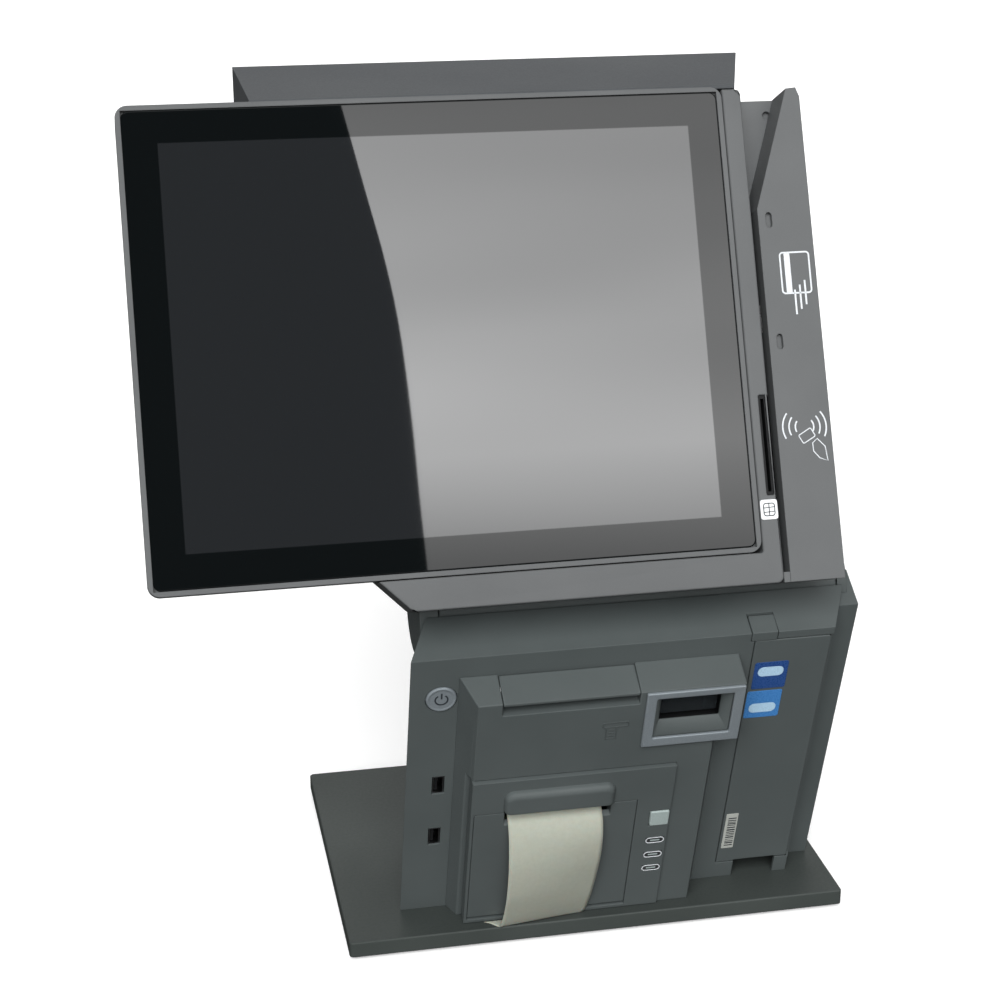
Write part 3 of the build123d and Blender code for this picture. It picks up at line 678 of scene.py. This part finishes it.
def make_printer_keys():
    """Square feed key, and three lozenge lights with a pale rim and a bar each."""
    steps = [(0, 15.4), (0, UNIT_N + 0.1), (0.35, UNIT_N + 0.6), (0.8, UNIT_N + 0.7)]
    key = stacked("feed_key_cap", on_body, FEED_AT, (12.0, 12.0), 1.3, steps, CAP)
    settle(key, "feed_key", "button_plastic", "feed_button")
    lamps = []
    steps = [(0, 15.2), (0, UNIT_N - 0.1), (0.3, UNIT_N + 0.15)]
    for k, up in enumerate(LIGHTS_UP):
        middle = (LIGHTS_X, up)
        lamps.append(stacked(f"light_lens_{k}", on_body, middle, (11.9, 4.9), 2.4, steps, CAVITY))
        outline = rounded_outline(11.2, 4.3, 2.1) + middle
        rim = stroke(
            f"light_rim_{k}", on_body, outline, 0.6, 0.2, LIGHT_INK, base=UNIT_N + 0.1, closed=True
        )
        bar = [(LIGHTS_X - 3, up), (LIGHTS_X + 3, up)]
        dash = stroke(f"light_bar_{k}", on_body, bar, 1.1, 0.12, CAP, base=UNIT_N + 0.14)
        settle(rim, "stand", "white_plastic")
        settle(dash, "stand", "white_plastic")
    for lamp in lamps:
        settle(lamp, "stand", "dark_plastic", "status_lights")


def mouth_ring(low, high, height):
    """Rounded rectangle between two corners of the body's face, at a height out of it."""
    size, centre = np.subtract(high, low), np.add(low, high) / 2
    ring = rounded_outline(size[0], size[1], 0.8)
    return on_body(centre[0] + ring[:, 0], centre[1] + ring[:, 1], height)


def make_scanner_mouth():
    """Funnel behind the silver surround: it narrows evenly from the opening to a smaller window, and a
    straight dark tunnel carries on from there to the pane."""
    opening, window = ((113.15, 154.15), (159.85, 185.25)), ((118.2, 160.2), (155.8, 184.6))
    tunnel = ((116.8, 156.0), (157.2, 184.8))
    funnel = [(*opening, MODULE_N + 0.4), (*window, 13.0), (*tunnel, 12.6)]
    walls = (
        ("scanner_funnel", BODY, "dark_plastic", funnel),
        ("scanner_tunnel", BLACK, "black_plastic", [(*tunnel, 12.4), (*tunnel, 4.0)]),
    )
    for name, finish, slot, steps in walls:
        points = np.stack([mouth_ring(*step) for step in steps])
        faces = [face[::-1] for face in grid_faces(len(steps), points.shape[1], True)]
        wall = mesh_piece(name, points, faces, finish)
        solid = wall.modifiers.new("wall", "SOLIDIFY")
        solid.thickness, solid.offset = 0.5 * MM, -1.0
        settle(shade_by_angle(wall), "stand", slot)


def make_labels():
    """Door label with bars of seeded widths, and two plain stickers with a pale band each."""
    draw = np.random.default_rng(7)
    front = 0.16
    steps = [(0, 0.0), (0, 0.1), (0.1, front)]
    label = stacked("door_label", on_body, (181.9, 42.4), (8.0, 31.4), 0.5, steps, LABEL)
    settle(label, "door", "paper", "code_label")
    up = 29.0
    number = 0
    while up < 55.0:
        width = 0.45 + 0.75 * draw.random()
        path = [(179.6, up + width / 2), (185.0, up + width / 2)]
        bar = stroke(f"door_label_bar_{number}", on_body, path, width, 0.04, DARK_INK, base=front)
        settle(bar, "door", "black_plastic")
        up += width + 0.55 + 0.7 * draw.random()
        number += 1
    stickers = (
        ((189.3, 176.2), (21.2, 21.4), STICKER_DEEP),
        ((188.0, 152.7), (22.1, 22.0), STICKER_BLUE),
    )
    for k, (centre, size, finish) in enumerate(stickers):
        steps = [(0, 0.0), (0, 0.1), (0.15, front)]
        base = stacked(f"sticker_{k}", on_body, centre, size, 1.5, steps, finish)
        middle, wide = (centre[0], centre[1] + 3 - 6 * k), (size[0] - 5, 7.5)
        steps = [(0, front), (0.1, 0.22)]
        band = stacked(f"sticker_band_{k}", on_body, middle, wide, 3.4, steps, STICKER_PALE)
        settle(base, "door", "sticker", "stickers")
        settle(band, "door", "sticker")


def make_module_sign():
    """Low relief on the module in the housing's own plastic: a slip of paper leaving a slot."""

    def relief(x, up, out):
        return on_body(x, up, out + MODULE_N)

    slot = rounded_outline(15.5, 3.4, 1.0) + [90.2, 166.3]
    slip = np.array([(84.6, 164.2), (84.6, 155.4), (90.8, 155.4), (90.8, 164.2)])
    signs = [stroke("module_sign_slot", relief, slot, 0.6, 0.35, BODY, closed=True)]
    signs.append(stroke("module_sign_slip", relief, slip, 0.6, 0.35, BODY))
    for row, up in enumerate((157.6, 159.8, 162.0)):
        signs.append(stroke(f"module_sign_line_{row}", relief, [(86.2, up), (89.2, up)], 0.5, 0.3, BODY))
    for sign in signs:
        settle(sign, "stand", "dark_plastic")


for soft_width, may_run, names in SOFT_EDGES:
    for node_name in names.split():
        softened(node_name, soft_width, may_run)
make_glass()
make_ticket()
make_signs()
make_chip_sign()
make_power_button()
make_printer_keys()
make_scanner_mouth()
make_labels()
make_module_sign()


# ---------------------------------------------------------------- camera, light and floor

CAMERA_AT = np.array([-185.71, -1085.26, SCREEN_Z + 309.41])
RIGHT = np.array([0.9805080, -0.1964790, 0.0001905])
DOWN = np.array([-0.0683645, -0.3420744, -0.9371827])
AHEAD = np.array([0.1842019, 0.9189021, -0.3488389])


def make_camera():
    """Camera of the main view, turned by its three measured axes."""
    data = bpy.data.cameras.new("camera")
    data.lens, data.sensor_width = 72.76, 36.0
    data.clip_start, data.clip_end = 0.05, 60.0
    camera = bpy.data.objects.new("camera", data)
    turn = Matrix(np.stack([RIGHT, -DOWN, -AHEAD], 1).tolist()).to_4x4()
    camera.matrix_world = Matrix.Translation((CAMERA_AT - SHIFT) * MM) @ turn
    bpy.context.scene.collection.objects.link(camera)
    bpy.context.scene.camera = camera


def glowing(name, low, high, foot, head):
    """Cloth-covered light: its glow wanders between the two strengths in long soft folds, and falls off to
    a share of itself towards its foot and its head. Its map is in metres on the glass that mirrors it."""
    material, tree = new_material(name)
    place = add(tree, "ShaderNodeUVMap").outputs["UV"]
    fold = add(
        tree,
        "ShaderNodeMapping",
        {"Rotation": (0.0, 0.0, 0.75), "Scale": (1.6, 9.0, 1.0)},
        {"Vector": place},
    )
    along = {"Vector": fold.outputs["Vector"]}
    folds = add(tree, "ShaderNodeTexNoise", {"Scale": 1.0, "Detail": 1.0}, along)
    strength = add(
        tree,
        "ShaderNodeMapRange",
        {"From Min": 0.3, "From Max": 0.7, "To Min": low, "To Max": high},
        {"Value": folds.outputs["Fac"]},
    ).outputs["Result"]
    height = add(tree, "ShaderNodeSeparateXYZ", links={0: place}).outputs["Y"]
    ends = ((-0.14, -0.07, foot, 1.0), (0.0, 0.14, 1.0, head))
    for end in ends:
        span = dict(zip(("From Min", "From Max", "To Min", "To Max"), end))
        share = add(tree, "ShaderNodeMapRange", span, {"Value": height})
        both = {0: strength, 1: share.outputs["Result"]}
        strength = add(tree, "ShaderNodeMath", links=both, operation="MULTIPLY").outputs["Value"]
    glow = add(tree, "ShaderNodeEmission", {"Color": linear("#ffffff")}, {"Strength": strength})
    add(tree, "ShaderNodeOutputMaterial", links={"Surface": glow.outputs["Emission"]})
    return material


def mirrored_card(name, edge, far, reach, glow):
    """Card in front of the terminal, seen only as a mirror image: its outline on the glass, from the edge
    curve to the far curve, is carried along the mirrored view lines to the card's distance."""
    normal = np.array([0.0, -math.cos(SCREEN_TILT), math.sin(SCREEN_TILT)])
    middle = np.array([0.0, 0.0, SCREEN_Z])
    mirrored = CAMERA_AT - 2 * ((CAMERA_AT - middle) @ normal) * normal
    outline = np.stack([edge, far], 1)
    ray = on_screen(outline[..., 0], outline[..., 1], 0.0) / MM + SHIFT - mirrored
    points = mirrored + ray * (reach / np.linalg.norm(ray, axis=-1, keepdims=True))
    faces = grid_faces(len(edge), 2, False)
    card = mesh_piece(name, (points - SHIFT) * MM, faces, glowing(name + "_glow", *glow))
    layer = card.data.uv_layers.new(name="glass_metres")
    index = np.empty(len(card.data.loops), int)
    card.data.loops.foreach_get("vertex_index", index)
    layer.data.foreach_set("uv", (outline.reshape(-1, 2)[index] * MM).ravel())
    card.visible_camera = card.visible_diffuse = card.visible_shadow = False


def make_cards():
    """A bright card mirrored in the right part of the glass, and a dark one behind it for the rest."""
    count = 32
    curve = [
        (-53, 152), (-48.1, 131), (-38.7, 84), (-30.5, 43), (-25.2, 3), (-22.4, -48), (-21.5, -93),
        (-20.4, -128), (-20, -150),
    ]
    edge = smooth_line(curve, count)
    far = np.stack([np.full(count, 330.0), edge[:, 1]], -1)
    mirrored_card("bright_card", edge, far, 2300.0, (2.7, 3.9, 0.5, 0.62))
    up = np.array([420.0, -420.0])
    dark_left, dark_right = (np.stack([np.full(2, side), up], -1) for side in (-520.0, 520.0))
    mirrored_card("dark_card", dark_left, dark_right, 3400.0, (0.011, 0.013, 1.0, 1.0))


def make_stage():
    """Pale floor, white surroundings for the camera, a dim dome brighter towards its top, and three soft
    suns: the main one from the front left, a weak low one, and one from behind."""
    reach = np.linspace(-14, 14, 2)
    x, y = np.meshgrid(reach, reach, indexing="ij")
    points = np.stack([x, y, np.zeros_like(x)], -1)
    material, tree = new_material("floor_pale_paper")
    look = {
        "Base Color": linear("#f6f6f6"),
        "Roughness": 0.9,
        "Emission Color": linear("#ffffff"),
        "Emission Strength": 0.2,
    }
    shader = add(tree, "ShaderNodeBsdfPrincipled", look)
    finish_material(tree, shader)
    floor = mesh_piece("floor", points, grid_faces(2, 2, False), material)
    floor.visible_diffuse = floor.visible_glossy = False
    world = bpy.data.worlds.new("world")
    bpy.context.scene.world = world
    world.use_nodes = True
    tree = world.node_tree
    tree.nodes.clear()
    seen = add(tree, "ShaderNodeLightPath").outputs["Is Camera Ray"]
    sky = add(tree, "ShaderNodeTexCoord").outputs["Generated"]
    height = add(tree, "ShaderNodeSeparateXYZ", links={0: sky})
    dome = add(
        tree,
        "ShaderNodeMapRange",
        {"From Min": -0.1, "From Max": 0.35, "To Min": 0.05, "To Max": 0.42},
        {"Value": height.outputs["Z"]},
    )
    mixed = {"Factor": seen, "A": dome.outputs["Result"]}
    strength = add(tree, "ShaderNodeMix", {"B": 1.0}, mixed, data_type="FLOAT").outputs["Result"]
    glow = add(tree, "ShaderNodeBackground", {"Color": linear("#ffffff")}, {"Strength": strength})
    add(tree, "ShaderNodeOutputWorld", links={"Surface": glow.outputs["Background"]})
    soft_sun("key_sun", -18, 37, 3.65, 40)
    soft_sun("low_fill", -6, 5, 0.8, 60)
    soft_sun("back_fill", 165, 14, 1.8, 60)


def soft_sun(name, across, above, power, spread):
    """Even light from a wide disc of sky; across turns it from the customer's side, angles in degrees."""
    data = bpy.data.lights.new(name, "SUN")
    data.energy, data.angle = power, math.radians(spread)
    sun = bpy.data.objects.new(name, data)
    across, above = math.radians(across), math.radians(above)
    level = math.cos(above)
    toward = Vector((math.sin(across) * level, -math.cos(across) * level, math.sin(above)))
    sun.rotation_euler = toward.to_track_quat("Z", "Y").to_euler()
    sun.visible_glossy = False
    bpy.context.scene.collection.objects.link(sun)


make_camera()
make_cards()
make_stage()
bpy.context.scene.view_settings.view_transform = "Standard"
